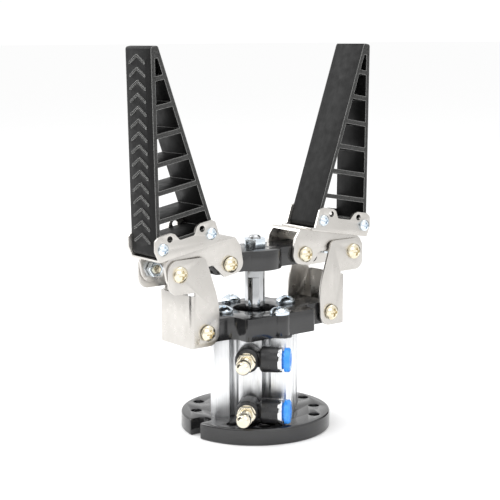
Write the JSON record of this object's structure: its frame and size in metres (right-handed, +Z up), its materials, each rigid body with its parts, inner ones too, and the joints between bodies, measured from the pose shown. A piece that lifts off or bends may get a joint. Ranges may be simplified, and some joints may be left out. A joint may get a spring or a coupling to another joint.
{
  "type": "pneumatic gripper",
  "caption": "Pneumatic gripper: an air cylinder on a round flange drives a linkage that swings soft fin-ray fingers together.",
  "frame": {"origin": "centre of the round flange's lower face", "axes": "+Z up along the piston rod, X along the finger opening, air fittings towards -X -Y"},
  "size_m": [0.1344, 0.0752, 0.1902],
  "materials": {
    "black_anodised": "satin black anodised, lightly brushed",
    "clear_anodised": "satin clear anodised extrusion",
    "sheet_steel": "smooth satin stainless sheet",
    "zinc_screw": "bright blue-zinc plating",
    "yellow_zinc": "bright yellow-zinc plating",
    "nickel_brass": "pale nickel-plated brass",
    "rod_chrome": "hard chrome, ground and polished",
    "fitting_black": "satin moulded plastic",
    "release_blue": "glossy translucent blue plastic",
    "collar_metal": "bright plated ring",
    "finger_rubber": "printed soft rubber with fine layer lines",
    "seal_rubber": "moulded seal rubber",
    "piston_metal": "turned aluminium",
    "magnet": "bonded magnet",
    "bush_bronze": "sintered bronze"
  },
  "bodies": {
    "base": {"mounting_flange": "black_anodised", "flange_screws": "zinc_screw", "cylinder_body": "clear_anodised", "rear_cap": "clear_anodised", "rear_cap_seal": "seal_rubber", "rod_cover": "black_anodised", "rod_cover_seal": "seal_rubber", "rod_bush": "bush_bronze", "rod_seal": "seal_rubber", "rod_circlip": "zinc_screw", "lower_bracket": "black_anodised", "bracket_screws": "zinc_screw", "lower_pivot_screws": "yellow_zinc", "lower_gasket": "seal_rubber", "lower_stem": "nickel_brass", "lower_lock_nut": "nickel_brass", "upper_gasket": "seal_rubber", "upper_stem": "nickel_brass", "upper_lock_nut": "nickel_brass"},
    "rod": {"piston_rod": "rod_chrome", "piston": "piston_metal", "piston_seal": "seal_rubber", "piston_magnet": "magnet", "crosshead": "black_anodised", "crosshead_nut": "zinc_screw", "crosshead_pivot_screws": "yellow_zinc"},
    "right_link": {"right_link": "sheet_steel", "right_link_screws": "yellow_zinc", "right_link_nuts": "zinc_screw"},
    "right_lever": {"right_lever": "sheet_steel", "right_finger_bracket": "sheet_steel", "right_finger": "finger_rubber", "right_finger_screws": "zinc_screw", "right_plate_screws": "zinc_screw", "right_plate_nuts": "zinc_screw"},
    "left_link": {"left_link": "sheet_steel", "left_link_screws": "yellow_zinc", "left_link_nuts": "zinc_screw"},
    "left_lever": {"left_lever": "sheet_steel", "left_finger_bracket": "sheet_steel", "left_finger": "finger_rubber", "left_finger_screws": "zinc_screw", "left_plate_screws": "zinc_screw", "left_plate_nuts": "zinc_screw"},
    "lower_elbow": {"lower_elbow": "fitting_black", "lower_tube_seal": "seal_rubber", "lower_grab_ring": "zinc_screw", "lower_end_collar": "collar_metal"},
    "lower_release": {"lower_release_ring": "release_blue"},
    "lower_knob": {"lower_flow_knob": "nickel_brass"},
    "upper_elbow": {"upper_elbow": "fitting_black", "upper_tube_seal": "seal_rubber", "upper_grab_ring": "zinc_screw", "upper_end_collar": "collar_metal"},
    "upper_release": {"upper_release_ring": "release_blue"},
    "upper_knob": {"upper_flow_knob": "nickel_brass"}
  },
  "joints": [
    {"name": "rod_slide", "type": "slide", "parent": "base", "child": "rod", "axis": [0, 0, 1], "range_m": [-0.015, 0]},
    {"name": "right_link_swing", "type": "hinge", "parent": "base", "child": "right_link", "pos_m": [0.0389, 0, 0.0549], "axis": [0, 1, 0], "range_deg": [-6, 0]},
    {"name": "right_lever_swing", "type": "hinge", "parent": "rod", "child": "right_lever", "pos_m": [0.0235, 0, 0.0861], "axis": [0, 1, 0], "range_deg": [-31.5, 0]},
    {"name": "left_link_swing", "type": "hinge", "parent": "base", "child": "left_link", "pos_m": [-0.0389, 0, 0.0549], "axis": [0, -1, 0], "range_deg": [-6, 0]},
    {"name": "left_lever_swing", "type": "hinge", "parent": "rod", "child": "left_lever", "pos_m": [-0.0235, 0, 0.0861], "axis": [0, -1, 0], "range_deg": [-31.5, 0]},
    {"name": "lower_elbow_swivel", "type": "hinge", "parent": "base", "child": "lower_elbow", "pos_m": [-0.01414, -0.01414, 0.0148], "axis": [-0.7071, -0.7071, 0], "range_deg": [0, 18]},
    {"name": "lower_release_push", "type": "slide", "parent": "lower_elbow", "child": "lower_release", "axis": [-0.7071, 0.7071, 0], "range_m": [0, 0.0008], "stiffness_N_per_m": 900},
    {"name": "lower_knob_turn", "type": "hinge", "parent": "base", "child": "lower_knob", "pos_m": [-0.01414, -0.01414, 0.0148], "axis": [-0.7071, -0.7071, 0], "range_deg": [0, 2790]},
    {"name": "upper_elbow_swivel", "type": "hinge", "parent": "base", "child": "upper_elbow", "pos_m": [-0.01414, -0.01414, 0.0405], "axis": [-0.7071, -0.7071, 0], "range_deg": [-18, 6]},
    {"name": "upper_release_push", "type": "slide", "parent": "upper_elbow", "child": "upper_release", "axis": [-0.7071, 0.7071, 0], "range_m": [0, 0.0008], "stiffness_N_per_m": 900},
    {"name": "upper_knob_turn", "type": "hinge", "parent": "base", "child": "upper_knob", "pos_m": [-0.01414, -0.01414, 0.0405], "axis": [-0.7071, -0.7071, 0], "range_deg": [0, 2790]}
  ],
  "couplings": [
    {"joint": "right_link_swing", "follows": "rod_slide", "rad_per_m": 6.7},
    {"joint": "right_lever_swing", "follows": "rod_slide", "rad_per_m": 36.3},
    {"joint": "left_link_swing", "follows": "rod_slide", "rad_per_m": 6.7},
    {"joint": "left_lever_swing", "follows": "rod_slide", "rad_per_m": 36.3}
  ]
}
